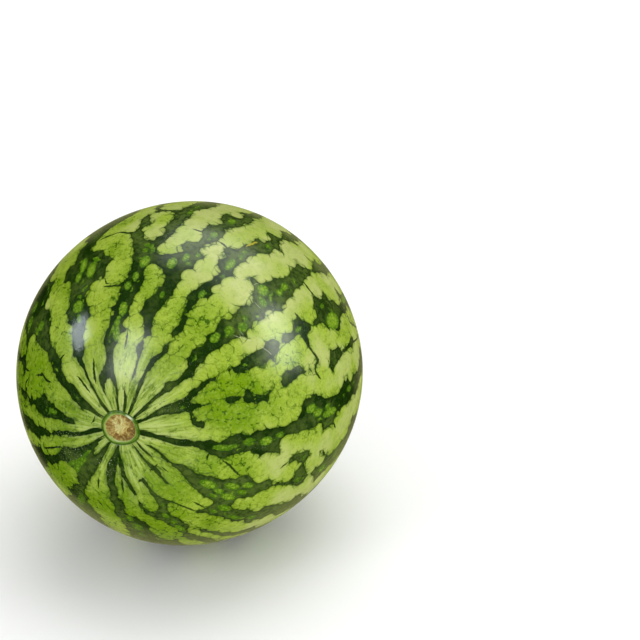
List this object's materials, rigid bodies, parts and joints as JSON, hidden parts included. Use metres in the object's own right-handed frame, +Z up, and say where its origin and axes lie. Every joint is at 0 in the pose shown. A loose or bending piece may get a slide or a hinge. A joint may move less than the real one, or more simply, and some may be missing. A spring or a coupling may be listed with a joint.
{
  "type": "watermelon",
  "caption": "Whole round striped watermelon lying on its side, with a corky stem scar in a green lip and a small flat spot underneath to rest on.",
  "frame": {"origin": "on the surface the fruit rests on, under the middle of its bounding box", "axes": "+Z up; the stem end faces -Y, raised 12.4 degrees above level, and the blossom end faces +Y"},
  "size_m": [0.2312, 0.2462, 0.2307],
  "materials": {
    "rind": "smooth waxy rind, satin to glossy: yellow-green ground with dark green jagged stripes from end to end, and a dry brown cork scar at each end"
  },
  "bodies": {
    "root": {"watermelon": "rind"}
  },
  "joints": []
}
